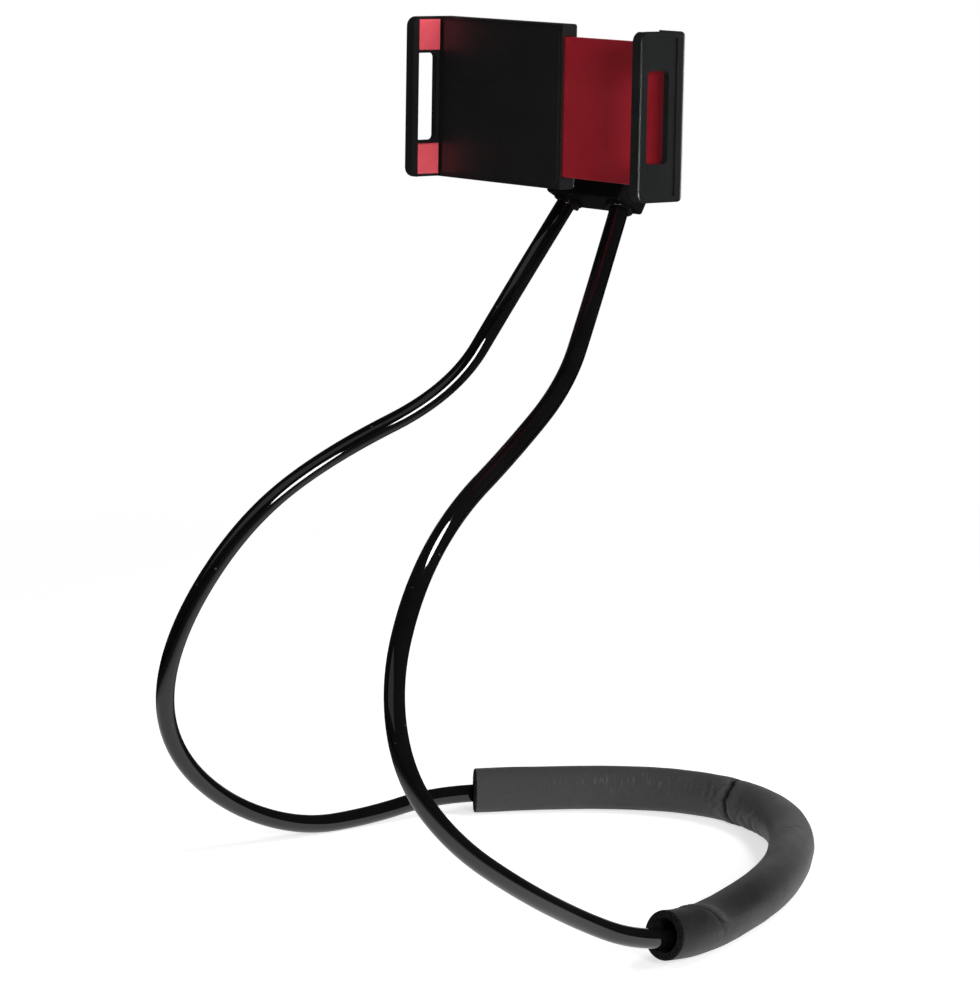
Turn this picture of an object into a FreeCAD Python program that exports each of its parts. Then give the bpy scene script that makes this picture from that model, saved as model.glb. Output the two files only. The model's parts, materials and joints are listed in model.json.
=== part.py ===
import FreeCAD, Part
import math
import os
import Sketcher
from FreeCAD import Placement, Rotation, Vector

# Neck phone holder: a bendable loop with a foam neck pad, a hub, a ball joint and a spring clamp.
# Millimetres. +Z is up, -Y is the way a held phone faces, +X points at the sliding jaw.
# The origin is on the table, under the middle of the whole holder.

doc = FreeCAD.newDocument("neck_phone_holder")

# Driving dimensions. Places on the clamp and the hub are measured from the middle of the ball.
SIZES = {
    # bendable arms and their neck pad
    "arm_diameter": 8.0,
    "sleeve_wall": 1.2,
    "wire_clearance": 0.1,
    "neck_pad_diameter": 20.0,
    "neck_pad_bore": 11.0,
    "neck_pad_rest": 0.3,
    "loop_width": 270.0,
    # ball joint
    "ball_x": -2.5,
    "ball_y": 7.5,
    "ball_z": 331.5,
    "ball_diameter": 16.0,
    "stem_diameter": 7.0,
    "ball_clearance": 0.05,
    "seat_wall": 1.2,
    "seat_front": 8.4,
    "seat_rear": 3.2,
    "socket_wall": 2.4,
    "socket_lip": 2.0,
    "socket_slit": 1.6,
    "socket_slit_depth": 8.0,
    "nut_diameter": 31.0,
    "nut_front": 8.0,
    "nut_rear": 7.0,
    "nut_lip_front": 2.3,
    "nut_mouth_diameter": 13.7,
    "nut_mouth_flare": 17.0,
    "nut_clearance": 0.3,
    "nut_edge_radius": 0.8,
    "nut_scallop_diameter": 4.0,
    "nut_scallops": 14,
    # hub
    "hub_front": 20.5,
    "hub_depth": 17.0,
    "hub_top": 12.0,
    "hub_waist_drop": 33.5,
    "hub_chin_front": 17.5,
    "hub_chin_drop": 39.0,
    "hub_heel_back": 30.5,
    "hub_heel_drop": 46.5,
    "hub_top_width": 26.0,
    "hub_foot_width": 47.0,
    "hub_corner_radius": 6.0,
    "hub_edge_radius": 1.2,
    "hub_boss_length": 6.0,
    "hub_boss_diameter": 15.0,
    "hub_boss_tip_diameter": 11.0,
    "arm_spacing": 34.0,
    "arm_mouth_back": 23.5,
    "arm_mouth_drop": 44.5,
    "arm_lean": 30.0,
    "arm_splay": 13.0,
    "arm_socket_depth": 15.0,
    "arm_first_run": 48.0,
    "collar_diameter": 11.6,
    "collar_rim": 1.75,
    "collar_rim_radius": 0.4,
    "collar_bush_diameter": 10.2,
    "collar_boss_diameter": 12.6,
    "collar_boss_length": 9.5,
    "collar_clearance": 0.05,
    "stud_depth": 12.0,
    "stud_thread_depth": 5.0,
    "stud_screw_diameter": 3.0,
    "stud_screw_length": 12.0,
    "stud_screw_head": 6.0,
    "stud_screw_head_depth": 2.2,
    # clamp
    "clamp_height": 66.0,
    "jaw_opening": 138.0,
    "grip_from_ball": 43.0,
    "grip_pad_thickness": 2.0,
    "jaw_wall": 3.0,
    "jaw_front": 38.5,
    "jaw_lip": 3.0,
    "jaw_lip_reach": 2.5,
    "jaw_corner_radius": 4.0,
    "jaw_edge_radius": 1.2,
    "cable_slot_margin": 15.0,
    "cable_slot_front": 35.1,
    "cable_slot_rear": 24.3,
    "cable_slot_radius": 2.0,
    "tray_front": 23.5,
    "tray_skin": 1.6,
    "panel_step": 0.5,
    "panel_margin": 3.5,
    "panel_edge": 1.5,
    "panel_corner_radius": 3.0,
    "tray_length": 82.0,
    "channel_depth": 4.6,
    "channel_end_wall": 0.5,
    "cover_thickness": 2.3,
    "cover_edge_radius": 0.7,
    "socket_ribs": 6,
    "socket_rib_width": 1.6,
    "socket_rib_reach": 8.0,
    "socket_rib_clearance": 1.0,
    "slide_rail": 5.0,
    "slide_length": 88.0,
    "slide_clearance": 0.3,
    "slide_corner_radius": 3.0,
    "slide_edge_radius": 0.4,
    "jaw_foot_length": 11.0,
    "jaw_foot_thickness": 2.8,
    "jaw_foot_radius": 3.0,
    "jaw_groove_width": 1.4,
    "jaw_groove_depth": 0.8,
    "jaw_groove_margin": 2.5,
    "jaw_groove_back": 20.1,
    # grip pads
    "grip_pad_margin": 1.2,
    "grip_pad_radius": 0.8,
    # springs
    "spring_offset": 15.0,
    "spring_diameter": 2.6,
    "spring_wire": 0.5,
    "spring_turns": 16.0,
    "spring_recess_depth": 3.3,
    "spring_recess_height": 4.6,
    "spring_recess_length": 25.0,
    "spring_post_diameter": 2.2,
    "spring_post_inset": 4.0,
    "spring_eye_clearance": 0.35,
    # fasteners
    "screw_diameter": 2.0,
    "screw_length": 4.6,
    "screw_head_diameter": 3.4,
    "screw_head_height": 1.2,
    "screw_clearance": 0.05,
    "cover_screw_inset": 8.0,
    "cover_screw_edge": 2.6,
    "jaw_screw_edge": 15.0,
    # how far a cut runs past the face it leaves, and how deep a post or rib is rooted
    "cut_overrun": 1.0,
    "root_depth": 0.5,
}

sheet = doc.addObject("Spreadsheet::Sheet", "sizes")
for row, (alias, number) in enumerate(SIZES.items(), start=1):
    sheet.set("A%d" % row, alias)
    sheet.set("B%d" % row, str(number))
    sheet.setAlias("B%d" % row, alias)
doc.recompute()


def size(alias):
    return float(sheet.get(alias))


def value(text):
    return float(sheet.evalExpression(text))


def named(text):
    # An expression in the sheet's words, such as "jaw_wall / 2", as the document reads it.
    words = []
    for word in text.replace("(", " ( ").replace(")", " ) ").split():
        words.append("sizes." + word if word in SIZES else word)
    return " ".join(words)


def bind(thing, **expressions):
    for prop, text in expressions.items():
        thing.setExpression(prop, named(text))


BALL = Vector(size("ball_x"), size("ball_y"), size("ball_z"))


def finish(label, thing, carried=True):
    # A finished piece takes its own name. The clamp, the joint and the hub are drawn about the ball, and
    # are carried to its place.
    thing.Label = label
    if carried:
        for axis in "xyz":
            thing.setExpression("Placement.Base." + axis, "sizes.ball_" + axis)
    doc.recompute()
    return thing


# Drawing and cutting

def new_body(label):
    body = doc.addObject("PartDesign::Body", label + "_body")
    body.Label = label
    return body


def plane_of(body, role):
    return next(f for f in body.Origin.OriginFeatures if f.Role == role)


def outline(body, role, name, corners):
    # A closed outline whose corners are each held by two signed distances from the origin.
    sketch = body.newObject("Sketcher::SketchObject", name)
    sketch.AttachmentSupport = [(plane_of(body, role), "")]
    sketch.MapMode = "FlatFace"
    doc.recompute()
    places = [Vector(*(value(text) for text in corner), 0) for corner in corners]
    for start, end in zip(places, places[1:] + places[:1]):
        sketch.addGeometry(Part.LineSegment(start, end), False)
    count = len(corners)
    for i in range(count):
        sketch.addConstraint(Sketcher.Constraint("Coincident", i, 2, (i + 1) % count, 1))
    for i, corner in enumerate(corners):
        for kind, text in zip(("DistanceX", "DistanceY"), corner):
            index = sketch.addConstraint(Sketcher.Constraint(kind, -1, 1, i, 1, value(text)))
            sketch.setExpression("Constraints[%d]" % index, named(text))
    doc.recompute()
    return sketch


def block(left, right, low, high):
    return [(left, low), (right, low), (right, high), (left, high)]


def pad(body, sketch, length):
    feature = body.newObject("PartDesign::Pad", sketch.Name + "_pad")
    feature.Profile = sketch
    feature.Midplane = True
    bind(feature, Length=length)
    doc.recompute()
    return feature


def pocket(body, sketch, length=None):
    before = body.Shape.Volume
    feature = body.newObject("PartDesign::Pocket", sketch.Name + "_pocket")
    feature.Profile = sketch
    feature.Midplane = True
    if length is None:
        feature.Type = "ThroughAll"
    else:
        bind(feature, Length=length)
    doc.recompute()
    if body.Shape.Volume > before - 0.1:
        raise RuntimeError(sketch.Name + " cuts nothing")
    return feature


TOUCH = 0.01


def near(a, b):
    return abs(a - b) < TOUCH


def edges_where(shape, test):
    return ["Edge%d" % (i + 1) for i, edge in enumerate(shape.Edges) if test(edge)]


def along(edge, axis):
    if edge.Curve.TypeId != "Part::GeomLine":
        return False
    return abs(abs(edge.Curve.Direction.dot(axis)) - 1) < 1e-6


def fillet(body, radius, test, name):
    names = edges_where(body.Tip.Shape, test)
    if not names:
        raise RuntimeError(name + " finds no edge")
    feature = body.newObject("PartDesign::Fillet", name)
    feature.Base = (feature.BaseFeature, names)
    bind(feature, Radius=radius)
    doc.recompute()
    return feature


X, Y, Z = Vector(1, 0, 0), Vector(0, 1, 0), Vector(0, 0, 1)


def primitive(kind, name, base=(0, 0, 0), axis=Z, **expressions):
    # A cylinder, cone, sphere, torus or box about the ball, its own axis turned to the one given.
    thing = doc.addObject("Part::" + kind, name)
    bind(thing, **expressions)
    thing.Placement = Placement(Vector(*base), Rotation(Z, axis))
    doc.recompute()
    return thing


def soften(name, thing, radius, test):
    numbers = [i + 1 for i, edge in enumerate(thing.Shape.Edges) if test(edge)]
    soft = doc.addObject("Part::Fillet", name)
    soft.Base = thing
    soft.Edges = [(i, size(radius), size(radius)) for i in numbers]
    doc.recompute()
    return soft


def joined(name, things):
    fuse = doc.addObject("Part::MultiFuse", name)
    fuse.Shapes = things
    doc.recompute()
    return fuse


def cut(name, base, tools):
    result = doc.addObject("Part::Cut", name)
    result.Base = base
    result.Tool = tools[0] if len(tools) == 1 else joined(name + "_tools", tools)
    doc.recompute()
    return result


# Where the clamp's pieces lie, from the ball

WALL_INNER = "0 - grip_from_ball - grip_pad_thickness"
WALL_OUTER = WALL_INNER + " - jaw_wall"
TRAY_END = WALL_OUTER + " + tray_length"
TRAY_FACE = "0 - tray_front + panel_step"
CHANNEL_FRONT = "0 - tray_front + tray_skin"
TRAY_BACK = CHANNEL_FRONT + " + channel_depth"
COVER_BACK = TRAY_BACK + " + cover_thickness"
SLIDE_FRONT = CHANNEL_FRONT + " + slide_clearance"
SLIDE_BACK = TRAY_BACK + " - slide_clearance"
FAR_INNER = "jaw_opening - grip_from_ball + grip_pad_thickness"
FAR_OUTER = FAR_INNER + " + jaw_wall"
SLIDE_START = FAR_INNER + " - slide_length"
FOOT_BACK = SLIDE_BACK + " + jaw_foot_thickness"
FRONT = "0 - jaw_front"
LIP_INNER = FRONT + " + jaw_lip"
SPRING_Y = SLIDE_BACK + " - spring_recess_depth / 2"
POST_X = WALL_INNER + " + spring_post_inset"
HOOK_X = SLIDE_START + " + spring_recess_length - spring_recess_height / 2"

SLIDE_HEIGHT = "clamp_height - 2 * slide_rail"
SLOT_HALF = "clamp_height / 2 - cable_slot_margin"
PAD_HEIGHT = "cable_slot_margin - 2 * grip_pad_margin"
RECESS_FLOOR = SLIDE_BACK + " - spring_recess_depth"
SOCKET_RADIUS = "ball_diameter / 2 + 2 * ball_clearance + seat_wall"
MOUTH_Y = "( ( ball_diameter / 2 ) ^ 2 - ( nut_mouth_diameter / 2 ) ^ 2 ) ^ 0.5"
STUD_END = "hub_front - hub_boss_length + stud_depth"
STUD_SCREW_SEAT = "hub_front + hub_depth - stud_screw_head_depth - collar_clearance"
COVER_SCREW_X = (WALL_OUTER + " + cover_screw_inset", TRAY_END + " - cover_screw_inset")
COVER_SCREW_Z = "clamp_height / 2 - cover_screw_edge"
COVER_SCREW_SEAT = COVER_BACK + " - screw_head_height - screw_clearance"
JAW_SCREW_X = FAR_INNER + " - jaw_foot_length / 2"
JAW_SCREW_Z = "clamp_height / 2 - jaw_screw_edge"
JAW_SCREW_SEAT = FOOT_BACK + " - screw_head_height - screw_clearance"
PAD_LIFT = "( neck_pad_bore - arm_diameter ) / 2 - neck_pad_rest"
ARC_SHARE = 0.45


def cable_slot(body, name):
    sketch = outline(body, "YZ_Plane", name,
                     block("0 - cable_slot_front", "0 - cable_slot_rear",
                           "0 - ( " + SLOT_HALF + " )", SLOT_HALF))
    pocket(body, sketch)
    half = value(SLOT_HALF)
    fillet(body, "cable_slot_radius",
           lambda e: along(e, X) and near(abs(e.CenterOfMass.z), half)
           and any(near(e.CenterOfMass.y, -size(side)) for side in ("cable_slot_front", "cable_slot_rear")),
           name + "_corners")


def round_jaw(body, outer_x, name):
    # The jaw's front corners are well rounded, and the edge round its outer face is softened.
    half = size("clamp_height") / 2
    front = -size("jaw_front")
    fillet(body, "jaw_corner_radius",
           lambda e: along(e, X) and near(e.CenterOfMass.y, front)
           and near(abs(e.CenterOfMass.z), half), name + "_corners")
    corner_start = half - size("jaw_corner_radius")
    fillet(body, "jaw_edge_radius",
           lambda e: near(e.CenterOfMass.x, outer_x) and near(e.BoundBox.XLength, 0)
           and (abs(e.CenterOfMass.z) > corner_start and not along(e, Z)
                or near(e.CenterOfMass.y, front)), name + "_edge")


# Clamp tray: one moulding with the fixed jaw, the flat back and the channel for the slide

def make_clamp_tray():
    body = new_body("tray_shell")
    profile = outline(body, "XY_Plane", "tray_profile", [
        (WALL_OUTER, FRONT),
        (WALL_INNER + " + jaw_lip_reach", FRONT),
        (WALL_INNER + " + jaw_lip_reach", LIP_INNER),
        (WALL_INNER, LIP_INNER),
        (WALL_INNER, TRAY_FACE),
        (TRAY_END, TRAY_FACE),
        (TRAY_END, TRAY_BACK),
        (WALL_OUTER, TRAY_BACK),
    ])
    pad(body, profile, "clamp_height")
    cable_slot(body, "tray_slot")
    round_jaw(body, value(WALL_OUTER), "tray")
    panel = outline(body, "XY_Plane", "tray_panel", block(
        WALL_INNER + " + panel_margin", TRAY_END + " - panel_edge", "0 - tray_front", TRAY_FACE))
    pad(body, panel, "clamp_height - 2 * panel_edge")
    face = -size("tray_front")
    fillet(body, "panel_corner_radius",
           lambda e: along(e, Y) and near(e.BoundBox.YMin, face) and near(e.Length, size("panel_step")),
           "panel_corners")
    channel = outline(body, "XY_Plane", "tray_channel", block(
        WALL_INNER + " + channel_end_wall", TRAY_END + " + cut_overrun", CHANNEL_FRONT,
        TRAY_BACK + " + cut_overrun"))
    pocket(body, channel, SLIDE_HEIGHT + " + 2 * slide_clearance")
    holes = [screw_hole("tray_screw_hole", x, COVER_SCREW_SEAT, sign, COVER_SCREW_Z)
             for x in COVER_SCREW_X for sign in (1, -1)]
    return finish("clamp_tray", cut("tray_cut", body, holes))


def spring_post(name, x, front, back, sign):
    # A round post that a spring's end eye hooks over.
    base = (value(x), value(front), sign * size("spring_offset"))
    return primitive("Cylinder", name, base, Y, Radius="spring_post_diameter / 2",
                     Height="( " + back + " ) - ( " + front + " )")


def screw_hole(name, x, seat, sign, offset):
    base = (value(x), value(seat), sign * value(offset))
    return primitive("Cylinder", name, base, -Y, Radius="screw_diameter / 2 + screw_clearance",
                     Height="screw_length + screw_clearance")


def screw_head_hole(name, x, seat, sign, offset):
    base = (value(x), value(seat), sign * value(offset))
    return primitive("Cylinder", name, base, Y, Radius="screw_head_diameter / 2 + screw_clearance",
                     Height="screw_head_height + cut_overrun")


def screw(name, x, seat, sign, offset):
    base = (value(x), value(seat), sign * value(offset))
    shank = primitive("Cylinder", name + "_shank", base, -Y, Radius="screw_diameter / 2",
                      Height="screw_length")
    head = primitive("Cylinder", name + "_head", base, Y, Radius="screw_head_diameter / 2",
                     Height="screw_head_height")
    return joined(name, [shank, head])


# Back cover of the clamp, with the split socket for the ball and the ribs that stiffen its foot

def socket_rib(angle):
    # A thin triangle from the foot of the socket out along the cover, clear of the ring nut.
    inner = value(SOCKET_RADIUS + " + socket_wall / 2")
    outer = value(SOCKET_RADIUS + " + socket_wall + socket_rib_reach")
    foot = value(COVER_BACK + " - cover_thickness / 2")
    low = value(COVER_BACK)
    high = -value("nut_front + socket_rib_clearance")
    half = size("socket_rib_width") / 2
    corners = [Vector(inner, foot, -half), Vector(outer, foot, -half), Vector(outer, low, -half),
               Vector(inner, high, -half)]
    rib = doc.addObject("Part::Feature", "socket_rib")
    rib.Shape = Part.Face(Part.makePolygon(corners + corners[:1])).extrude(Vector(0, 0, 2 * half))
    rib.Placement = Placement(Vector(), Rotation(Y, angle))
    return rib


def make_clamp_cover():
    body = new_body("cover_plate")
    profile = outline(body, "XY_Plane", "cover_profile", block(WALL_OUTER, TRAY_END, TRAY_BACK, COVER_BACK))
    pad(body, profile, "clamp_height")
    fillet(body, "jaw_edge_radius", lambda e: along(e, Y), "cover_corners")
    back = value(COVER_BACK)
    fillet(body, "cover_edge_radius", lambda e: near(e.CenterOfMass.y, back), "cover_edge")
    root = TRAY_BACK + " + root_depth"
    boss = primitive("Cylinder", "socket_boss", (0, value(root), 0), Y,
                     Radius=SOCKET_RADIUS + " + socket_wall", Height="socket_lip - ( " + root + " )")
    hollow = primitive("Sphere", "socket_hollow", Radius=SOCKET_RADIUS)
    mouth = primitive("Cylinder", "socket_mouth", axis=Y, Radius=SOCKET_RADIUS,
                      Height="socket_lip + cut_overrun")
    rib_count = round(size("socket_ribs"))
    ribs = [socket_rib(360 * (i + 0.5) / rib_count) for i in range(rib_count)]
    posts = [spring_post("cover_post", POST_X, RECESS_FLOOR + " + slide_clearance", root, sign)
             for sign in (1, -1)]
    tools = [hollow, mouth]
    reach = size("socket_slit") / 2
    slit_reach = SOCKET_RADIUS + " + socket_wall + cut_overrun"
    across = value(slit_reach)
    for name, corner, long_side, thin_side in (
            ("socket_slit_across", (-across, 0, -reach), "Length", "Height"),
            ("socket_slit_upright", (-reach, 0, -across), "Height", "Length")):
        base = (corner[0], value("socket_lip - socket_slit_depth"), corner[2])
        tools.append(primitive("Box", name, base, Z, Width="socket_slit_depth + cut_overrun", **{
            long_side: "2 * ( " + slit_reach + " )", thin_side: "socket_slit"}))
    for x in COVER_SCREW_X:
        for sign in (1, -1):
            tools.append(screw_hole("cover_screw_hole", x, COVER_SCREW_SEAT, sign, COVER_SCREW_Z))
            tools.append(screw_head_hole("cover_head_hole", x, COVER_SCREW_SEAT, sign, COVER_SCREW_Z))
    solid = joined("cover_with_boss", [body, boss] + ribs + posts)
    return finish("clamp_cover", cut("cover_cut", solid, tools))


def make_cover_screws():
    screws = [screw("cover_screw", x, COVER_SCREW_SEAT, sign, COVER_SCREW_Z)
              for x in COVER_SCREW_X for sign in (1, -1)]
    return finish("cover_screws", joined("cover_screw_set", screws))


# Slide: the plate that runs in the tray's channel, with a recess for each spring in its back

def make_slide():
    body = new_body("slide_plate")
    profile = outline(body, "XY_Plane", "slide_profile",
                      block(SLIDE_START, FAR_INNER, SLIDE_FRONT, SLIDE_BACK))
    pad(body, profile, SLIDE_HEIGHT)
    start = value(SLIDE_START)
    fillet(body, "slide_corner_radius", lambda e: along(e, Y) and near(e.CenterOfMass.x, start),
           "slide_corners")
    fillet(body, "slide_edge_radius", lambda e: along(e, X), "slide_edges")
    tools = []
    posts = []
    for sign in (1, -1):
        base = (start - size("cut_overrun"), value(RECESS_FLOOR),
                sign * size("spring_offset") - size("spring_recess_height") / 2)
        tools.append(primitive("Box", "spring_recess", base, Z, Height="spring_recess_height",
                               Length="spring_recess_length + cut_overrun",
                               Width="spring_recess_depth + cut_overrun"))
        tools.append(screw_hole("slide_screw_hole", JAW_SCREW_X, JAW_SCREW_SEAT, sign, JAW_SCREW_Z))
        posts.append(spring_post("slide_post", HOOK_X, RECESS_FLOOR + " - root_depth", SLIDE_BACK, sign))
    return finish("slide", joined("slide_with_posts", [cut("slide_cut", body, tools)] + posts))


# Moving jaw: wall, lip and foot in one moulding, its foot screwed to the back of the slide

def make_moving_jaw():
    body = new_body("jaw_shell")
    profile = outline(body, "XY_Plane", "jaw_profile", [
        (FAR_INNER + " - jaw_lip_reach", FRONT),
        (FAR_OUTER, FRONT),
        (FAR_OUTER, FOOT_BACK),
        (FAR_INNER + " - jaw_foot_length", FOOT_BACK),
        (FAR_INNER + " - jaw_foot_length", SLIDE_BACK),
        (FAR_INNER, SLIDE_BACK),
        (FAR_INNER, LIP_INNER),
        (FAR_INNER + " - jaw_lip_reach", LIP_INNER),
    ])
    pad(body, profile, "clamp_height")
    cable_slot(body, "jaw_slot")
    round_jaw(body, value(FAR_OUTER), "jaw")
    groove = outline(body, "XY_Plane", "jaw_groove", block(
        FAR_OUTER + " - jaw_groove_depth", FAR_OUTER + " + cut_overrun",
        "0 - jaw_groove_back - jaw_groove_width", "0 - jaw_groove_back"))
    pocket(body, groove, "clamp_height - 2 * jaw_groove_margin")
    half = size("clamp_height") / 2
    foot_back = value(FOOT_BACK)
    fillet(body, "jaw_foot_radius",
           lambda e: along(e, X) and near(abs(e.CenterOfMass.z), half)
           and near(e.CenterOfMass.y, foot_back), "jaw_foot_corners")
    tools = []
    for sign in (1, -1):
        tools.append(screw_hole("jaw_screw_hole", JAW_SCREW_X, JAW_SCREW_SEAT, sign, JAW_SCREW_Z))
        tools.append(screw_head_hole("jaw_head_hole", JAW_SCREW_X, JAW_SCREW_SEAT, sign, JAW_SCREW_Z))
    return finish("moving_jaw", cut("jaw_cut", body, tools))


def make_jaw_screws():
    screws = [screw("jaw_screw", JAW_SCREW_X, JAW_SCREW_SEAT, sign, JAW_SCREW_Z) for sign in (1, -1)]
    return finish("jaw_screws", joined("jaw_screw_set", screws))


# Soft pads on the jaws, one above and one below each cable slot

def make_grip_pads(label, wall_x, inward):
    pads = []
    for sign in (1, -1):
        low = SLOT_HALF + " + grip_pad_margin"
        z = value(low) if sign > 0 else -value(low + " + " + PAD_HEIGHT)
        x = value(wall_x) if inward > 0 else value(wall_x + " - grip_pad_thickness")
        box = primitive("Box", label + "_block", (x, value(LIP_INNER + " + slide_clearance"), z), Z,
                        Length="grip_pad_thickness", Height=PAD_HEIGHT,
                        Width="0 - tray_front - slide_clearance - ( " + LIP_INNER + " + slide_clearance )")
        face = value(wall_x) + inward * size("grip_pad_thickness")
        pads.append(soften(label + "_soft", box, "grip_pad_radius",
                           lambda e: near(e.CenterOfMass.x, face) and near(e.BoundBox.XLength, 0)))
    return finish(label, joined(label + "_pair", pads))


# Pull springs: a coil between two end eyes, stretched to where the open jaw holds it

def make_spring(label, sign):
    eye = "( spring_post_diameter / 2 + spring_eye_clearance + spring_wire / 2 )"
    start = value(POST_X + " + " + eye)
    length = "( " + HOOK_X + " - " + eye + " ) - ( " + POST_X + " + " + eye + " )"
    y = value(SPRING_Y)
    z = sign * size("spring_offset")
    coil_radius = "( spring_diameter - spring_wire ) / 2"
    helix = doc.addObject("Part::Helix", label + "_line")
    bind(helix, Pitch="( " + length + " ) / spring_turns", Height=length, Radius=coil_radius)
    section = doc.addObject("Part::Circle", label + "_section")
    bind(section, Radius="spring_wire / 2")
    section.Placement = Placement(Vector(value(coil_radius), 0, 0), Rotation(Z, Y))
    doc.recompute()
    coil = doc.addObject("Part::Sweep", label + "_coil")
    coil.Sections = [section]
    coil.Spine = (helix, ["Edge%d" % (i + 1) for i in range(len(helix.Shape.Edges))])
    coil.Solid = True
    coil.Frenet = True
    coil.Placement = Placement(Vector(start, y, z), Rotation(Z, X))
    eyes = [primitive("Torus", label + "_eye", (value(x), y, z), Y, Radius1=eye, Radius2="spring_wire / 2")
            for x in (POST_X, HOOK_X)]
    doc.recompute()
    return finish(label, joined(label + "_whole", [coil] + eyes))


# Ball joint: stud, friction seat and ring nut

def make_ball_stud():
    ball = primitive("Sphere", "stud_ball", Radius="ball_diameter / 2")
    stem = primitive("Cylinder", "stud_stem", axis=Y, Radius="stem_diameter / 2", Height=STUD_END)
    hole = primitive("Cylinder", "stud_hole", (0, value(STUD_END + " - stud_thread_depth"), 0), Y,
                     Radius="stud_screw_diameter / 2 + screw_clearance",
                     Height="stud_thread_depth + cut_overrun")
    return finish("ball_stud", cut("stud_cut", joined("stud_solid", [ball, stem]), [hole]))


def make_ball_seat():
    outer = primitive("Sphere", "seat_outer", Radius="ball_diameter / 2 + ball_clearance + seat_wall")
    inner = primitive("Sphere", "seat_inner", Radius="ball_diameter / 2 + ball_clearance")
    band = primitive("Cylinder", "seat_band", (0, -size("seat_front"), 0), Y, Radius="ball_diameter",
                     Height="seat_front - seat_rear")
    shell = cut("seat_shell", outer, [inner])
    seat = doc.addObject("Part::Common", "seat_ring")
    seat.Base = shell
    seat.Tool = band
    doc.recompute()
    return finish("ball_seat", seat)


def make_ball_nut():
    blank = primitive("Cylinder", "nut_blank", (0, -size("nut_front"), 0), Y, Radius="nut_diameter / 2",
                      Height="nut_front + nut_rear")
    blank = soften("nut_rounded", blank, "nut_edge_radius",
                   lambda e: e.Closed and e.Length > size("nut_diameter"))
    bore = primitive("Cylinder", "nut_bore", (0, -value("nut_front + cut_overrun"), 0), Y,
                     Radius=SOCKET_RADIUS + " + socket_wall + nut_clearance",
                     Height="nut_front + cut_overrun + nut_lip_front")
    hollow = primitive("Sphere", "nut_hollow", Radius="ball_diameter / 2 + ball_clearance")
    mouth = primitive("Cone", "nut_mouth", (0, value(MOUTH_Y), 0), Y, Radius1="nut_mouth_diameter / 2",
                      Radius2="nut_mouth_flare / 2", Height="nut_rear - ( " + MOUTH_Y + " )")
    scallops = []
    for i in range(round(size("nut_scallops"))):
        angle = 2 * math.pi * i / round(size("nut_scallops"))
        ring = value("nut_diameter / 2 + nut_scallop_diameter / 4")
        base = (ring * math.cos(angle), -value("nut_front + cut_overrun"), ring * math.sin(angle))
        scallops.append(primitive("Cylinder", "nut_scallop", base, Y, Radius="nut_scallop_diameter / 2",
                                  Height="nut_front + nut_rear + 2 * cut_overrun"))
    return finish("ball_nut", cut("nut_cut", blank, [bore, hollow, mouth] + scallops))


# Hub: one moulding that takes both arms from below and the ball stud in front

def make_hub_body():
    body = new_body("hub_block")
    profile = outline(body, "YZ_Plane", "hub_profile", [
        ("hub_front", "hub_top"),
        ("hub_front", "0 - hub_waist_drop"),
        ("hub_chin_front", "0 - hub_chin_drop"),
        ("hub_heel_back", "0 - hub_heel_drop"),
        ("hub_front + hub_depth", "0 - hub_waist_drop"),
        ("hub_front + hub_depth", "hub_top"),
    ])
    pad(body, profile, "hub_foot_width")
    for name, sign in (("hub_right_taper", ""), ("hub_left_taper", "0 - ")):
        taper = outline(body, "XZ_Plane", name, [
            (sign + "hub_foot_width / 2", "0 - hub_waist_drop"),
            (sign + "( hub_foot_width / 2 + cut_overrun )", "0 - hub_waist_drop"),
            (sign + "( hub_foot_width / 2 + cut_overrun )", "hub_top + cut_overrun"),
            (sign + "hub_top_width / 2", "hub_top + cut_overrun"),
        ])
        pocket(body, taper)
    top = size("hub_top")
    fillet(body, "hub_corner_radius", lambda e: along(e, Y) and near(e.CenterOfMass.z, top),
           "hub_corners")
    fillet(body, "hub_edge_radius", lambda e: True, "hub_edges")
    boss = primitive("Cone", "hub_boss", (0, value("hub_front + hub_edge_radius"), 0), -Y,
                     Radius1="hub_boss_diameter / 2", Radius2="hub_boss_tip_diameter / 2",
                     Height="hub_boss_length + hub_edge_radius")
    solids = [body, boss]
    tools = [
        primitive("Cylinder", "stud_bore", (0, value("hub_front - hub_boss_length - cut_overrun"), 0), Y,
                  Radius="stem_diameter / 2 + collar_clearance",
                  Height="stud_depth + cut_overrun + collar_clearance"),
        primitive("Cylinder", "stud_screw_bore", (0, value(STUD_END + " - cut_overrun"), 0), Y,
                  Radius="stud_screw_diameter / 2 + screw_clearance", Height="hub_depth"),
        primitive("Cylinder", "stud_head_bore", (0, value(STUD_SCREW_SEAT), 0), Y,
                  Radius="stud_screw_head / 2 + screw_clearance",
                  Height="stud_screw_head_depth + cut_overrun"),
    ]
    for side in (1, -1):
        mouth, up = arm_mouth(side)
        solids.append(primitive("Cylinder", "arm_boss", mouth + up * size("collar_rim"), up,
                                Radius="collar_boss_diameter / 2", Height="collar_boss_length"))
        tools.append(primitive("Cylinder", "arm_socket", mouth + up * value("collar_rim - cut_overrun"), up,
                               Radius="collar_bush_diameter / 2 + collar_clearance",
                               Height="arm_socket_depth - collar_rim + cut_overrun + collar_clearance"))
        tools.append(primitive("Cylinder", "rim_space", mouth + up * size("collar_rim"), -up,
                               Radius="collar_boss_diameter / 2", Height="collar_boss_diameter"))
    return finish("hub_body", cut("hub_cut", joined("hub_solid", solids), tools))


def make_stud_screw():
    seat = (0, value(STUD_SCREW_SEAT), 0)
    shank = primitive("Cylinder", "stud_screw_shank", seat, -Y, Radius="stud_screw_diameter / 2",
                      Height="stud_screw_length")
    head = primitive("Cylinder", "stud_screw_cap", seat, Y, Radius="stud_screw_head / 2",
                     Height="stud_screw_head_depth")
    return finish("stud_screw", joined("stud_screw_whole", [shank, head]))


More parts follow.
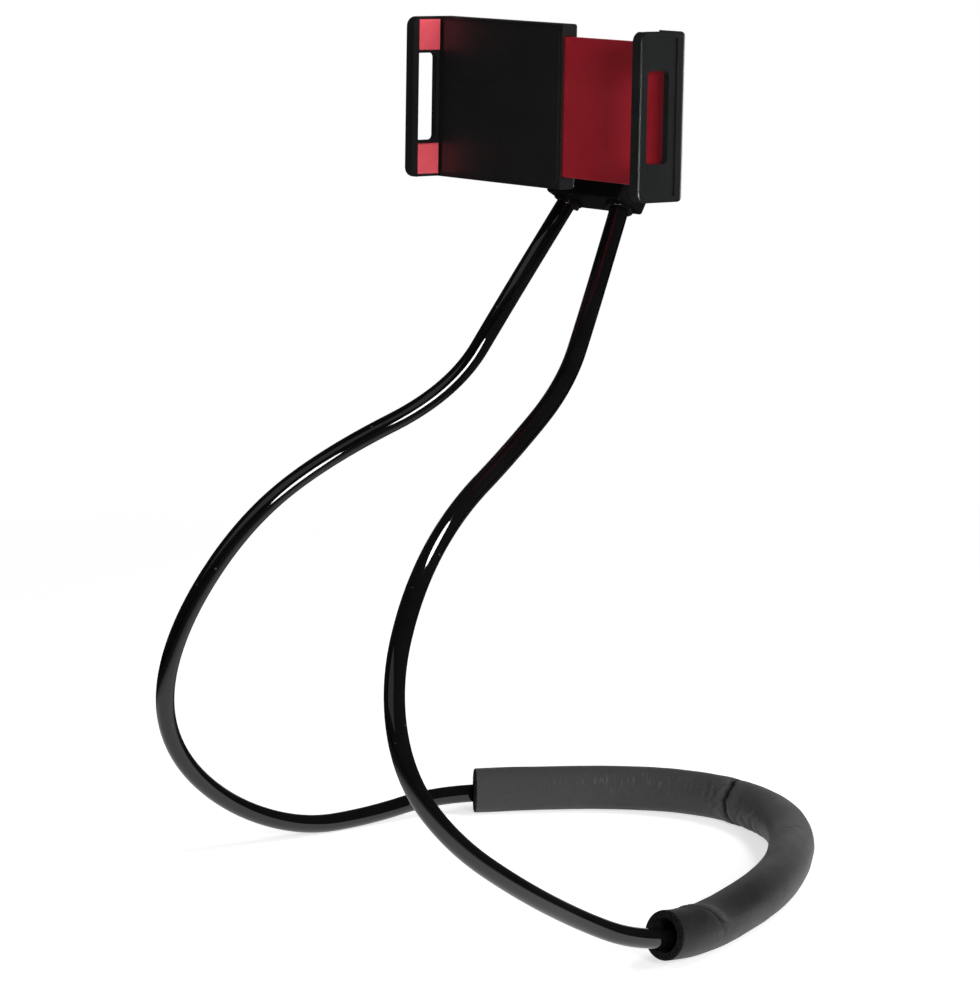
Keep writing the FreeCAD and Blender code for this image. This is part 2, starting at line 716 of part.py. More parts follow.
def make_arm_collars():
    collars = []
    for side in (1, -1):
        mouth, up = arm_mouth(side)
        ring = primitive("Cylinder", "collar_ring", mouth, up, Radius="collar_diameter / 2",
                         Height="collar_rim")
        rim = soften("collar_rim", ring, "collar_rim_radius",
                     lambda e: near(e.CenterOfMass.distanceToPoint(mouth), 0))
        bush = primitive("Cylinder", "collar_bush", mouth, up, Radius="collar_bush_diameter / 2",
                         Height="arm_socket_depth")
        bore = primitive("Cylinder", "collar_bore", mouth - up * size("cut_overrun"), up,
                         Radius="arm_diameter / 2 + collar_clearance",
                         Height="arm_socket_depth + 2 * cut_overrun")
        collars.append(cut("collar", joined("collar_solid", [rim, bush]), [bore]))
    return finish("arm_collars", joined("collar_pair", collars))


# Bendable loop. The corner points run from the socket at +X, down that arm, round the neck pad and up the
# other arm. The line rounds each corner with an arc as large as its two runs allow.

def arm_mouth(side):
    # The middle of a collar's lower face, from the ball, and the way up into the hub.
    mouth = Vector(side * size("arm_spacing") / 2, size("arm_mouth_back"), -size("arm_mouth_drop"))
    lean = math.tan(math.radians(size("arm_lean")))
    splay = math.tan(math.radians(size("arm_splay")))
    return mouth, Vector(-side * splay, lean, 1).normalize()


def arm_top(side):
    mouth, up = arm_mouth(side)
    mouth = mouth + BALL
    return mouth + up * size("arm_socket_depth"), mouth - up * size("arm_first_run")


def loop_corners():
    # Corners are written for a loop 270 wide. At the nape the pad lies on the table, and in front of it
    # the left arm does.
    spread = size("loop_width") / 270
    nape = (value("neck_pad_diameter / 2") - value(PAD_LIFT)) / spread
    rest = value("arm_diameter / 2") / spread
    right_top, right_first = arm_top(1)
    left_top, left_first = arm_top(-1)
    right_arm = [(43, -20, 221), (60, -62, 199), (77, -104, 181), (96, -138, 157), (112, -160, 126),
                 (124, -162, 94), (131, -144, 68), (130, -110, 45), (123.5, -73, 25.5), (123.3, -47, 14.4)]
    nape_bend = [(118.5, -11, nape), (90, 51, nape), (61, 93, nape), (27, 129, nape), (-14, 154.5, nape),
                 (-56, 157, nape), (-92, 131, nape), (-113.5, 94, nape)]
    left_arm = [(-131.5, 54.5, nape), (-131.5, 17, rest), (-131.5, -20, rest), (-131.5, -59, 19),
                (-128, -90, 45), (-123, -102, 76), (-114, -95, 113), (-98, -74, 153), (-79, -46, 180),
                (-49, -4, 207)]
    corners = [right_top, right_first] + [Vector(*p) * spread for p in right_arm + nape_bend + left_arm]
    first_nape = 2 + len(right_arm)
    return corners + [left_first, left_top], first_nape, first_nape + len(nape_bend) - 1


def bend_radii(corners):
    radii = [0]
    for before, at, after in zip(corners, corners[1:], corners[2:]):
        turn = (at - before).getAngle(after - at)
        shorter = min(at.distanceToPoint(before), after.distanceToPoint(at))
        radii.append(ARC_SHARE * shorter / math.tan(turn / 2))
    return radii + [0]


def rounded_line(corners, radii):
    edges = []
    here = corners[0]
    for before, at, after, radius in zip(corners, corners[1:], corners[2:], radii[1:]):
        incoming = (at - before).normalize()
        outgoing = (after - at).normalize()
        turn = incoming.getAngle(outgoing)
        reach = radius * math.tan(turn / 2)
        start = at - incoming * reach
        end = at + outgoing * reach
        inward = (outgoing - incoming).normalize()
        middle = at + inward * (radius / math.cos(turn / 2) - radius)
        edges.append(Part.LineSegment(here, start).toShape())
        edges.append(Part.Arc(start, middle, end).toShape())
        here = end
    edges.append(Part.LineSegment(here, corners[-1]).toShape())
    return Part.Wire(edges)


def tube(name, line, radius):
    path = doc.addObject("Part::Feature", name + "_line")
    path.Shape = line
    section = doc.addObject("Part::Circle", name + "_section")
    bind(section, Radius=radius)
    start = line.Edges[0]
    section.Placement = Placement(start.valueAt(start.FirstParameter),
                                  Rotation(Z, start.tangentAt(start.FirstParameter)))
    doc.recompute()
    sweep = doc.addObject("Part::Sweep", name)
    sweep.Sections = [section]
    sweep.Spine = (path, ["Edge%d" % (i + 1) for i in range(len(path.Shape.Edges))])
    sweep.Solid = True
    doc.recompute()
    expected = math.pi * value(radius) ** 2 * line.Length
    if abs(sweep.Shape.Volume - expected) > 0.01 * expected:
        raise RuntimeError("%s holds %.0f, not %.0f" % (name, sweep.Shape.Volume, expected))
    return sweep


def make_loop():
    corners, first_nape, last_nape = loop_corners()
    radii = bend_radii(corners)
    print("bend radii", [round(r) for r in radii[1:-1]])
    line = rounded_line(corners, radii)
    print("loop length", round(line.Length))
    bore = "arm_diameter / 2 - sleeve_wall"
    wire = tube("wire_core", line, bore + " - wire_clearance")
    outside = tube("sleeve_outside", line, "arm_diameter / 2")
    sleeve = cut("sleeve_tube", outside, [tube("sleeve_bore", line, bore)])
    near_end = (corners[first_nape - 1] + corners[first_nape]) * 0.5
    far_end = (corners[last_nape] + corners[last_nape + 1]) * 0.5
    lift = Vector(0, 0, value(PAD_LIFT))
    nape = [p + lift for p in [near_end] + corners[first_nape:last_nape + 1] + [far_end]]
    nape_line = rounded_line(nape, [0] + radii[first_nape:last_nape + 1] + [0])
    print("neck pad length", round(nape_line.Length))
    foam = cut("foam_tube", tube("foam_outside", nape_line, "neck_pad_diameter / 2"),
               [tube("foam_bore", nape_line, "neck_pad_bore / 2")])
    return [finish(*pair, carried=False) for pair in
            (("arm_wire", wire), ("arm_sleeve", sleeve), ("neck_pad", foam))]


pieces = [
    make_clamp_tray(),
    make_clamp_cover(),
    make_cover_screws(),
    make_slide(),
    make_moving_jaw(),
    make_jaw_screws(),
    make_grip_pads("fixed_jaw_pads", WALL_INNER, 1),
    make_grip_pads("moving_jaw_pads", FAR_INNER, -1),
    make_spring("upper_spring", 1),
    make_spring("lower_spring", -1),
    make_ball_stud(),
    make_ball_seat(),
    make_ball_nut(),
    make_hub_body(),
    make_stud_screw(),
    make_arm_collars(),
]
pieces += make_loop()
doc.recompute()

for thing in doc.Objects:
    if "Invalid" in thing.State or "Error" in thing.State:
        raise RuntimeError(thing.Label + " failed: " + ", ".join(thing.State))
for piece in pieces:
    if piece.Shape.isNull() or not piece.Shape.isValid() or not piece.Shape.Solids:
        raise RuntimeError(piece.Label + " has no valid solid")

os.makedirs("parts", exist_ok=True)
for piece in pieces:
    piece.Shape.exportStep("parts/" + piece.Label + ".step")
    print(piece.Label, len(piece.Shape.Solids), round(piece.Shape.Volume))
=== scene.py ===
import bmesh
import bpy
import json
import math
import numpy as np
from mathutils import Matrix, Vector, noise


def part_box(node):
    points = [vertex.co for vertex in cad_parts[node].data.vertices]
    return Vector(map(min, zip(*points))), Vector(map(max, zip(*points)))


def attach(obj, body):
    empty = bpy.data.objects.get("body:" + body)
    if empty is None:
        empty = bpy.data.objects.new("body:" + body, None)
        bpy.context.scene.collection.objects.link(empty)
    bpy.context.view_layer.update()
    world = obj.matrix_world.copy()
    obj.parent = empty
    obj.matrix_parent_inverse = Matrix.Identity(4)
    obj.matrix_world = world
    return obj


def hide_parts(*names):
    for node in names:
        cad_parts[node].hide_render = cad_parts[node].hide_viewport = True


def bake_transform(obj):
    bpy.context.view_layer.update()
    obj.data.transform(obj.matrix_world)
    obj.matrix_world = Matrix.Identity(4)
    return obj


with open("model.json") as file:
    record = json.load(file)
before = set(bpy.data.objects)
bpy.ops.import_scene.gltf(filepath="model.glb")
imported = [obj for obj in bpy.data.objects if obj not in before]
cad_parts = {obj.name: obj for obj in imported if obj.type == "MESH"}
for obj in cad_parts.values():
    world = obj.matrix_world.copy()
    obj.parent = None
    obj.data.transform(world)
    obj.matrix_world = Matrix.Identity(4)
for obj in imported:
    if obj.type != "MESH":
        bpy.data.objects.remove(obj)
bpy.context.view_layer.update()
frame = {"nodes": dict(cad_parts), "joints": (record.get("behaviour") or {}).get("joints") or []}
cad_nodes = frame["nodes"]


# Camera. The holder stands on a table, seen from in front of the sliding jaw and a little above it.
# A long lens far away keeps the two arms close to their true proportions.
CAMERA_PLACE = Vector((1.2594, -1.0465, 0.430))
CAMERA_HEADING = math.radians(50.9)
CAMERA_DIP = math.radians(9.0)
CAMERA_ROLL = math.radians(1.0)
CAMERA_LENS = 146.9

camera = bpy.data.objects.new("camera", bpy.data.cameras.new("camera"))
camera.data.sensor_width = 36.0
camera.data.lens = CAMERA_LENS
camera.data.clip_end = 100.0
camera.location = CAMERA_PLACE
camera.rotation_euler = (Matrix.Rotation(CAMERA_HEADING, 3, "Z")
                         @ Matrix.Rotation(math.pi / 2 - CAMERA_DIP, 3, "X")
                         @ Matrix.Rotation(CAMERA_ROLL, 3, "Z")).to_euler()
bpy.context.collection.objects.link(camera)
bpy.context.scene.camera = camera
bpy.context.scene.view_settings.view_transform = "Standard"


# Table and light. A pale table top in a dim studio: its white lies close round the holder, so that the
# glossy arms mirror it from below and the dark room from above. Softboxes fill the shade, two pale walls
# show in the gloss, and small lamps near the arms give it short streaks.
TABLE_REACH = 30.0
TABLE_COLOR = 0.82
TABLE_LIT = 0.36
TABLE_NEAR = 0.45
TABLE_FAR = 1.10
MIRROR_NEAR = 0.12
MIRROR_FAR = 0.30
MIRROR_FAR_SHARE = 0.05
ROOM_LIGHT = 0.12
ROOM_MIRRORED = 0.03


def add_node(tree, kind, **settings):
    node = tree.nodes.new("ShaderNode" + kind)
    for name, setting in settings.items():
        setattr(node, name, setting)
    return node


def link(tree, *pairs):
    for source, target in pairs:
        tree.links.new(source, target)


def calculate(tree, operation, first, second):
    # A math node on two sockets or numbers.
    node = add_node(tree, "Math", operation=operation)
    for socket, term in zip(node.inputs, (first, second)):
        if isinstance(term, (int, float)):
            socket.default_value = term
        else:
            tree.links.new(term, socket)
    return node.outputs[0]


def ranged(tree, source, low, high, to_low, to_high, smooth=False):
    node = add_node(tree, "MapRange", interpolation_type="SMOOTHSTEP" if smooth else "LINEAR")
    for socket, level in zip(node.inputs[1:5], (low, high, to_low, to_high)):
        socket.default_value = level
    tree.links.new(source, node.inputs[0])
    return node.outputs[0]


def placed(name, data):
    piece = bpy.data.objects.new(name, data)
    bpy.context.collection.objects.link(piece)
    return piece


table_mesh = bpy.data.meshes.new("table_top")
table_corners = [(x * TABLE_REACH, y * TABLE_REACH, 0) for x, y in ((-1, -1), (1, -1), (1, 1), (-1, 1))]
table_mesh.from_pydata(table_corners, [], [(0, 1, 2, 3)])
table = placed("table_top", table_mesh)

pale_top = bpy.data.materials.new("pale_table")
pale_top.use_nodes = True
tree = pale_top.node_tree
tree.nodes.clear()
path = add_node(tree, "LightPath")
middle = add_node(tree, "TexCoord")
away = add_node(tree, "VectorMath", operation="LENGTH")
link(tree, (middle.outputs["Object"], away.inputs[0]))
near = ranged(tree, away.outputs["Value"], TABLE_NEAR, TABLE_FAR, 1, 0, smooth=True)
bounced = calculate(tree, "ADD", path.outputs["Is Glossy Ray"], path.outputs["Is Transmission Ray"])
close = ranged(tree, path.outputs["Ray Length"], MIRROR_NEAR, MIRROR_FAR, 1, MIRROR_FAR_SHARE, smooth=True)
mirrored = calculate(tree, "MULTIPLY", calculate(tree, "MULTIPLY", bounced, near), close)
seen = calculate(tree, "MAXIMUM", path.outputs["Is Camera Ray"], mirrored)
unlit = ranged(tree, near, 0, 1, 1, 1 - TABLE_LIT)
glow = add_node(tree, "Emission")
link(tree, (calculate(tree, "MULTIPLY", seen, unlit), glow.inputs["Strength"]))
lit = add_node(tree, "BsdfDiffuse")
shown = calculate(tree, "MAXIMUM", calculate(tree, "SUBTRACT", 1, bounced), close)
pale = calculate(tree, "MULTIPLY", calculate(tree, "MULTIPLY", near, shown), TABLE_COLOR)
link(tree, (pale, lit.inputs["Color"]))
both = add_node(tree, "AddShader")
out = add_node(tree, "OutputMaterial")
link(tree, (lit.outputs[0], both.inputs[0]), (glow.outputs[0], both.inputs[1]),
     (both.outputs[0], out.inputs["Surface"]))
table_mesh.materials.append(pale_top)

room = bpy.data.worlds.new("studio_room")
room.use_nodes = True
tree = room.node_tree
path = add_node(tree, "LightPath")
mirrored = calculate(tree, "ADD", path.outputs["Is Glossy Ray"], path.outputs["Is Transmission Ray"])
plain = ranged(tree, mirrored, 0, 1, ROOM_LIGHT, ROOM_MIRRORED)
link(tree, (calculate(tree, "MAXIMUM", path.outputs["Is Camera Ray"], plain),
            tree.nodes["Background"].inputs["Strength"]))
tree.nodes["Background"].inputs["Color"].default_value = (1, 1, 1, 1)
bpy.context.scene.world = room


def softbox(name, place, aim, size, watts, mirrored=True, lights=True, shape="RECTANGLE", spread=180):
    # A flat lamp. One that isn't mirrored only lights, and one that doesn't light is only mirrored.
    lamp = bpy.data.lights.new(name, "AREA")
    lamp.shape = shape
    lamp.size, lamp.size_y = size
    lamp.energy = watts
    lamp.spread = math.radians(spread)
    box = placed(name, lamp)
    box.visible_camera = False
    box.visible_glossy = mirrored
    box.visible_diffuse = lights
    box.location = place
    box.rotation_euler = (Vector(aim) - Vector(place)).to_track_quat("-Z", "Y").to_euler()
    return box


softbox("overhead_fill", (0.45, 0.75, 1.55), (0.0, 0.0, 0.12), (0.9, 0.5), 9, mirrored=False)
softbox("camera_side_fill", (1.55, -0.55, 0.55), (0.0, 0.0, 0.15), (0.35, 0.5), 14, mirrored=False)
softbox("right_fill", (1.2, 1.0, 0.6), (0.05, 0.05, 0.05), (0.6, 0.6), 10, mirrored=False)
softbox("left_wall", (0.17, -1.96, 1.5), (0.0, 0.0, 0.15), (2.2, 1.4), 5)
softbox("back_wall", (-1.92, 1.6, 0.3), (0.0, 0.0, 0.2), (1.8, 0.5), 3)
softbox("jaw_edge_light", (0.18, -0.17, 0.25), (0.095, -0.045, 0.32), (0.05, 0.10), 0.035, lights=False,
        spread=40)

# Small round lamps close to the arms, each mirrored as one short white streak.
STREAK_RADIANCE = 30.0
streak_lamps = [
    ("left_arm_upper", (0.0081, -0.0580, 0.1890), (-0.0482, -0.0057, 0.2113), 0.030),
    ("left_arm_lower", (-0.0128, -0.0946, 0.1503), (-0.0852, -0.0551, 0.1710), 0.036),
    ("right_arm", (0.1036, -0.0910, 0.2453), (0.0873, -0.1224, 0.1680), 0.034),
]
for name, place, aim, across in streak_lamps:
    watts = STREAK_RADIANCE * math.pi * math.pi * (across / 2) ** 2
    softbox(name + "_streak", place, aim, (across, across), watts, lights=False, shape="ELLIPSE")


# Bendable arms. One soft wire runs from the hub down an arm, round the nape and up the other arm, and
# its whole length is drawn through a smooth black sleeve with a wet-looking gloss.
MM = 0.001
SLEEVE_DIAMETER = 8.0
SLEEVE_WALL = 1.2
WIRE_CLEARANCE = 0.1
SLEEVE_SIDES = 36
ARM_SPACING = 34.0
ARM_MOUTH_BACK = 23.5
ARM_MOUTH_DROP = 44.5
ARM_LEAN = math.radians(30)
ARM_SPLAY = math.radians(13)
ARM_SOCKET_DEPTH = 15.0
ARM_FIRST_RUN = 48.0
NAPE_HEIGHT = 8.8

ball = Vector(next(j["pos_m"] for j in frame["joints"] if j["name"] == "ball_pan")) / MM


def arm_top(side):
    # The first points of an arm, in millimetres: straight out of its socket and down.
    mouth = ball + Vector((side * ARM_SPACING / 2, ARM_MOUTH_BACK, -ARM_MOUTH_DROP))
    up = Vector((-side * math.tan(ARM_SPLAY), math.tan(ARM_LEAN), 1)).normalized()
    return [mouth + up * ARM_SOCKET_DEPTH, mouth - up * ARM_FIRST_RUN / 4, mouth - up * ARM_FIRST_RUN]


right_arm = [(43, -20, 221), (60, -62, 199), (77, -104, 181), (96, -138, 157), (112, -160, 126),
             (124, -162, 94), (131, -144, 68), (130, -110, 45), (123.5, -73, 25.5), (123.3, -47, 14.4)]
nape = [(118.5, -11, NAPE_HEIGHT), (90, 51, NAPE_HEIGHT), (61, 93, NAPE_HEIGHT), (27, 129, NAPE_HEIGHT),
        (-14, 154.5, NAPE_HEIGHT), (-56, 157, NAPE_HEIGHT), (-92, 131, NAPE_HEIGHT),
        (-113.5, 94, NAPE_HEIGHT)]
left_arm = [(-131.5, 54.5, NAPE_HEIGHT), (-131.5, 17, 4), (-131.5, -20, 4), (-131.5, -59, 19),
            (-128, -90, 45), (-123, -102, 76), (-114, -95, 113), (-98, -74, 153), (-79, -46, 180),
            (-49, -4, 207)]
route = arm_top(1) + [Vector(p) for p in right_arm + nape + left_arm] + arm_top(-1)[::-1]

route_curve = bpy.data.curves.new("arm_route", "CURVE")
route_curve.dimensions = "3D"
route_curve.resolution_u = 18
spline = route_curve.splines.new("NURBS")
spline.points.add(len(route) - 1)
for point, place in zip(spline.points, route):
    point.co = (*(place * MM), 1)
spline.order_u = 3
spline.use_endpoint_u = True


def mesh_of(thing):
    depsgraph = bpy.context.evaluated_depsgraph_get()
    return bpy.data.meshes.new_from_object(thing.evaluated_get(depsgraph), depsgraph=depsgraph)


def unit(vectors):
    return vectors / np.linalg.norm(vectors, axis=-1, keepdims=True)


def smoothed(mesh):
    mesh.polygons.foreach_set("use_smooth", [True] * len(mesh.polygons))


def walled_tube(name, rings, along, around):
    # A closed wall from rings of points that run once round its section: outside, end, bore and end.
    # Its map holds the metres along the tube and round it.
    count, sides = rings.shape[:2]
    corners = [(i * sides + j, i * sides + (j + 1) % sides, (i + 1) % count * sides + (j + 1) % sides,
                (i + 1) % count * sides + j) for i in range(count) for j in range(sides)]
    mesh = bpy.data.meshes.new(name)
    mesh.from_pydata(rings.reshape(-1, 3).tolist(), [], corners)
    steps = np.append(along, along[0])
    turns = np.linspace(0, around, sides + 1)
    cells = [(steps[i + di], turns[j + dj]) for i in range(count) for j in range(sides)
             for di, dj in ((0, 0), (0, 1), (1, 1), (1, 0))]
    mesh.uv_layers.new(name="along_and_round").data.foreach_set("uv", np.array(cells).ravel())
    wall = bmesh.new()
    wall.from_mesh(mesh)
    bmesh.ops.recalc_face_normals(wall, faces=wall.faces)
    wall.to_mesh(mesh)
    wall.free()
    smoothed(mesh)
    return placed(name, mesh)


route_object = placed("arm_route", route_curve)
route_line = np.array([v.co for v in mesh_of(route_object).vertices]) / MM
route_curve.bevel_depth = (SLEEVE_DIAMETER / 2 - SLEEVE_WALL - WIRE_CLEARANCE) * MM
route_curve.bevel_resolution = 5
route_curve.use_fill_caps = True
core = placed("bending_wire", mesh_of(route_object))
smoothed(core.data)
bpy.data.objects.remove(route_object)
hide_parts("arm_wire")
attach(core, "loop")

line_run = unit(np.gradient(route_line, axis=0))
line_side = [unit(np.cross(line_run[0], (0, 0, 1.0)))]
for run in line_run[1:]:
    line_side.append(unit(line_side[-1] - run * (line_side[-1] @ run)))
line_side = np.array(line_side)
line_up = np.cross(line_side, line_run)
line_along = np.append(0, np.cumsum(np.linalg.norm(np.diff(route_line, axis=0), axis=1)))
angles = np.linspace(0, 2 * math.pi, SLEEVE_SIDES, endpoint=False)[None, :, None]
outward = np.cos(angles) * line_side[:, None] + np.sin(angles) * line_up[:, None]
outside = route_line[:, None] + outward * SLEEVE_DIAMETER / 2
inside = route_line[:, None] + outward * (SLEEVE_DIAMETER / 2 - SLEEVE_WALL)
sleeve = walled_tube("glossy_sleeve", np.concatenate([outside, inside[::-1]]) * MM,
                     np.concatenate([line_along, line_along[::-1]]) * MM, math.pi * SLEEVE_DIAMETER * MM)
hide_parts("arm_sleeve")
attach(sleeve, "loop")


def effect_group(name, inputs, outputs):
    # An empty shader group with named number inputs and outputs.
    group = bpy.data.node_groups.new(name, "ShaderNodeTree")
    for label, level in inputs.items():
        socket = group.interface.new_socket(label, in_out="INPUT", socket_type="NodeSocketFloat")
        socket.default_value = level
    for label in outputs:
        group.interface.new_socket(label, in_out="OUTPUT", socket_type="NodeSocketFloat")
    return group, group.nodes.new("NodeGroupInput"), group.nodes.new("NodeGroupOutput")


# Grain: the fine matt texture and the slow drift of tone that every moulded or drawn skin has.
grain_effect, given, gives = effect_group(
    "skin_grain", {"Grain Scale": 3000.0, "Drift Scale": 60.0}, ("Grain", "Drift"))
spot = add_node(grain_effect, "TexCoord")
fine = add_node(grain_effect, "TexNoise")
fine.inputs["Detail"].default_value = 2.0
slow = add_node(grain_effect, "TexNoise")
slow.inputs["Detail"].default_value = 3.0
link(grain_effect, (spot.outputs["Object"], fine.inputs["Vector"]),
     (spot.outputs["Object"], slow.inputs["Vector"]),
     (given.outputs["Grain Scale"], fine.inputs["Scale"]),
     (given.outputs["Drift Scale"], slow.inputs["Scale"]),
     (fine.outputs[0], gives.inputs["Grain"]),
     (ranged(grain_effect, slow.outputs[0], 0.3, 0.7, 0, 1), gives.inputs["Drift"]))

# Dust: sparse pale specks, each in its own cell, that lie on the black surfaces.
dust_effect, given, gives = effect_group(
    "dust_specks", {"Speck Scale": 400.0, "Bare Share": 0.9}, ("Specks",))
spot = add_node(dust_effect, "TexCoord")
cells = add_node(dust_effect, "TexVoronoi")
chance = add_node(dust_effect, "SeparateColor")
link(dust_effect, (spot.outputs["Object"], cells.inputs["Vector"]), (given.outputs[0], cells.inputs["Scale"]),
     (cells.outputs["Color"], chance.inputs[0]))
dot = ranged(dust_effect, cells.outputs["Distance"], 0.10, 0.22, 1, 0)
chosen = calculate(dust_effect, "GREATER_THAN", chance.outputs[0], given.outputs["Bare Share"])
link(dust_effect, (calculate(dust_effect, "MULTIPLY", dot, chosen), gives.inputs["Specks"]))


def new_finish(name, **levels):
    # A surface whose even values are set on its shader, such as Metallic or Sheen Weight.
    material = bpy.data.materials.new(name)
    material.use_nodes = True
    shader = material.node_tree.nodes["Principled BSDF"]
    for label, level in levels.items():
        shader.inputs[label.replace("_", " ")].default_value = level
    return material, material.node_tree, shader


def effect(tree, group, **levels):
    node = add_node(tree, "Group", node_tree=group)
    for label, level in levels.items():
        node.inputs[label.replace("_", " ")].default_value = level
    return node


def mixed(tree, share, first, second):
    # A colour between two, each a socket or a plain colour.
    node = add_node(tree, "Mix", data_type="RGBA")
    tree.links.new(share, node.inputs["Factor"])
    for socket, term in zip(node.inputs[6:8], (first, second)):
        if isinstance(term, tuple):
            socket.default_value = (*term, 1)
        else:
            tree.links.new(term, socket)
    return node.outputs[2]


def bumped(tree, shader, height, depth):
    # Turns a height between 0 and 1 into relief that many millimetres deep.
    bump = add_node(tree, "Bump")
    bump.inputs["Strength"].default_value = 1.0
    bump.inputs["Distance"].default_value = depth * MM
    link(tree, (height, bump.inputs["Height"]), (bump.outputs[0], shader.inputs["Normal"]))


def dressed(piece, *materials):
    piece.data.materials.clear()
    for material in materials:
        piece.data.materials.append(material)


def paint(node, material):
    for slot in cad_nodes[node].material_slots:
        slot.material = material


sleeve_gloss, tree, shader = new_finish("sleeve_gloss")
skin = effect(tree, grain_effect, Grain_Scale=700.0, Drift_Scale=45.0)
dust = effect(tree, dust_effect, Speck_Scale=330.0, Bare_Share=0.95)
black = mixed(tree, skin.outputs["Drift"], (0.0025, 0.0025, 0.0028), (0.0045, 0.0045, 0.005))
link(tree, (mixed(tree, dust.outputs["Specks"], black, (0.05, 0.05, 0.05)), shader.inputs["Base Color"]))
soft = ranged(tree, skin.outputs["Drift"], 0, 1, 0.035, 0.07)
link(tree, (calculate(tree, "ADD", soft, calculate(tree, "MULTIPLY", dust.outputs["Specks"], 0.4)),
            shader.inputs["Roughness"]))
bumped(tree, shader, skin.outputs["Grain"], 0.003)
dressed(sleeve, sleeve_gloss)


def bare_metal(name, grain, drift, dark, light, rough):
    # Uncoated or thinly plated metal: its tone drifts slowly, and its shine changes with a fine grain.
    material, tree, shader = new_finish(name, Metallic=1.0)
    skin = effect(tree, grain_effect, Grain_Scale=grain, Drift_Scale=drift)
    link(tree, (mixed(tree, skin.outputs["Drift"], dark, light), shader.inputs["Base Color"]),
         (ranged(tree, skin.outputs["Grain"], 0.3, 0.7, *rough), shader.inputs["Roughness"]))
    return material


drawn_wire = bare_metal("drawn_aluminium", 2500.0, 80.0, (0.62, 0.62, 0.63), (0.72, 0.72, 0.73), (0.28, 0.42))
dressed(core, drawn_wire)


# Neck pad. A thick-walled foam tube with a leathery skin, pushed over the loop at the nape. It is bent
# tighter than it likes, so its inner side has buckled into creases. Its near end is cut square and its far
# end a little askew.
PAD_DIAMETER = 20.0
PAD_BORE = 11.0
PAD_LIFT = 1.2
PAD_SIDES = 112
PAD_STEP = 0.9
PAD_END_ROUND = 1.0
PAD_MOUTH_FLARE = 1.4
PAD_MOUTH_REACH = 6.0
PAD_FAR_EXTRA = 2.5
PAD_FAR_SLANT = 1.8
PAD_FAR_SLANT_REACH = 22.0
PAD_SWELL = 0.35
PAD_DIMPLE = 0.12
PAD_RIPPLE = 0.45
PAD_TORN = 0.45
PAD_FACE_SUNK = 0.1
PAD_FOLD_WANDER = 2.4
# Painted light and shade: how far the skin goes from black to grey at places along the pad, darkest at the
# near end and lightest at the bend.
PAD_PAINTED_LIGHT_PLACES = (0, 75, 165, 205, 290)
PAD_PAINTED_LIGHT = (0.0, 0.06, 1.0, 0.9, 0.65)
# Folds: place along the pad, angle round it where the fold starts and ends (0 outside, 90 on top, 180
# inside), slant over that arc, depth, half width, and how far its later lip stands over the earlier one.
pad_folds = [
    (258.0, 86, 208, -3.5, 3.0, 2.2, 0.0),
    (255.5, 180, 252, -3.0, 1.7, 1.8, 0.0),
    (262.0, 104, 150, 5.0, 1.0, 1.0, 0.0),
    (266.0, 120, 205, 3.0, 0.8, 1.2, 0.2),
    (271.0, 130, 185, -2.0, 0.5, 1.1, 0.0),
    (248.0, 165, 255, 4.0, 0.9, 2.2, 0.0),
    (240.0, 175, 250, -3.0, 0.8, 1.8, 0.0),
    (231.0, 170, 240, 3.0, 0.9, 2.0, 0.0),
    (222.0, 180, 245, 2.0, 0.6, 1.6, 0.0),
    (169.0, 62, 104, -4.0, 0.40, 0.9, 0.0),
    (167.0, 70, 112, -3.0, 0.35, 0.8, 0.0),
    (21.5, 22, 110, -15.0, 1.5, 1.0, 0.8),
    (26.0, -10, 40, -6.0, 0.4, 1.3, 0.0),
]
# Stretches where the skin is finely wrinkled: middle and half length along, middle and half angle round.
pad_wrinkles = [(312, 42, 150, 28), (258, 20, 170, 50), (15, 7, 95, 25), (168, 12, 85, 30)]


def nearest(place):
    return int(np.argmin(np.linalg.norm(route_line - np.array(place), axis=1)))


pad_first = nearest((Vector(right_arm[-1]) + Vector(nape[0])) / 2)
pad_last = nearest((Vector(nape[-1]) + Vector(left_arm[0])) / 2)
pad_line = route_line[pad_first:pad_last + 1] + np.array((0, 0, PAD_LIFT))
pad_along = line_along[pad_first:pad_last + 1] - line_along[pad_first]
pad_length = pad_along[-1] + PAD_FAR_EXTRA
spare_run = PAD_FAR_EXTRA + 2 * PAD_FAR_SLANT
pad_line = np.vstack([pad_line, pad_line[-1] + unit(pad_line[-1] - pad_line[-2]) * spare_run])
pad_along = np.append(pad_along, pad_along[-1] + spare_run)


def smooth_window(values, low, high, soft):
    rise = np.clip((values - low) / soft + 0.5, 0, 1)
    fall = np.clip((high - values) / soft + 0.5, 0, 1)
    share = np.minimum(rise, fall)
    return share * share * (3 - 2 * share)


def wrinkled(along, turn):
    # How finely wrinkled the skin is at each place, from 0 to 1.
    share = np.zeros(np.broadcast(along, turn).shape)
    for middle, reach, facing, spread in pad_wrinkles:
        off_turn = (turn - facing + 180) % 360 - 180
        spot = np.exp(-((along - middle) / reach) ** 4 - (off_turn / spread) ** 2)
        share = np.maximum(share, spot)
    return share


def field(along, turn, grow_along, grow_round, seed):
    # Smooth noise over the skin, closed round the tube.
    values = np.empty(np.broadcast(along, turn).shape)
    angle = np.radians(turn)
    for index in np.ndindex(values.shape):
        a = angle[0, index[1]]
        run = along[index[0], 0] / grow_along
        values[index] = noise.noise(Vector((run, math.cos(a) * grow_round, math.sin(a) * grow_round + seed)))
    return values


